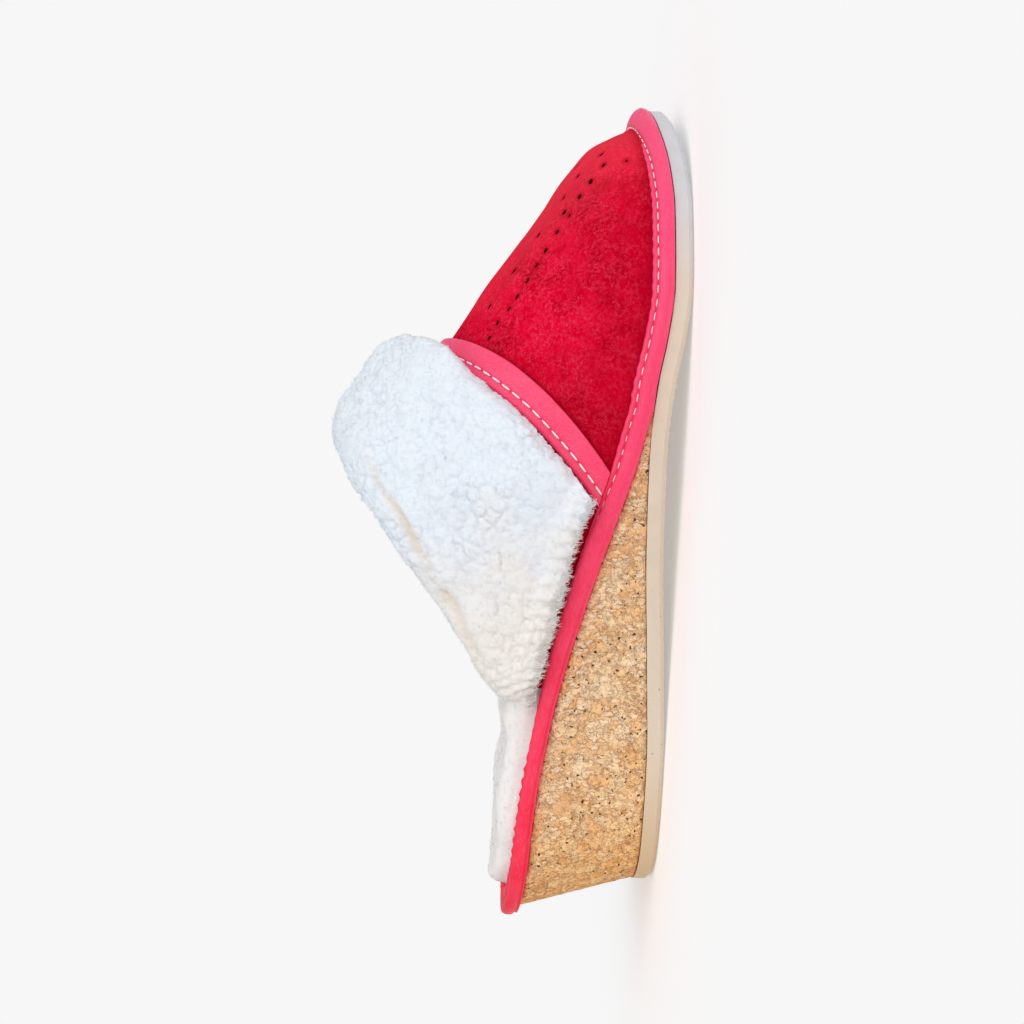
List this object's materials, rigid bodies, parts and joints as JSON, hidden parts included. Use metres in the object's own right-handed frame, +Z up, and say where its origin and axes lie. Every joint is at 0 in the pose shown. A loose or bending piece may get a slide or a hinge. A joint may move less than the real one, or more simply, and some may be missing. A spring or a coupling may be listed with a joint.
{
  "type": "wedge slipper",
  "caption": "Right-foot open-back slipper: suede vamp, wool roll cuff over the instep, bound wool insole, cork wedge and thin patterned outsole.",
  "frame": {"origin": "middle of the bounding box at floor level, the shoe standing on its outsole", "axes": "+X from heel to toe, +Y to the inner (medial) side of the right foot, +Z up"},
  "size_m": [0.2452, 0.0976, 0.0996],
  "materials": {
    "sole_rubber": "matte light beige moulded rubber with a fine dimpled tread",
    "cork": "matte pressed cork granules, tan with brown edges and dark pits",
    "insole_wool": "short cream wool pile",
    "binding": "smooth coral red binding with a soft sheen",
    "suede": "deep red suede with a short mottled nap",
    "cuff_wool": "dense curly white wool, a little cream towards its back edge",
    "thread": "white sewing thread"
  },
  "bodies": {
    "root": {"outsole": "sole_rubber", "cork_wedge": "cork", "insole": "insole_wool", "rand": "binding", "upper": "suede", "collar_tape": "binding", "wool_cuff": "cuff_wool"}
  },
  "joints": []
}
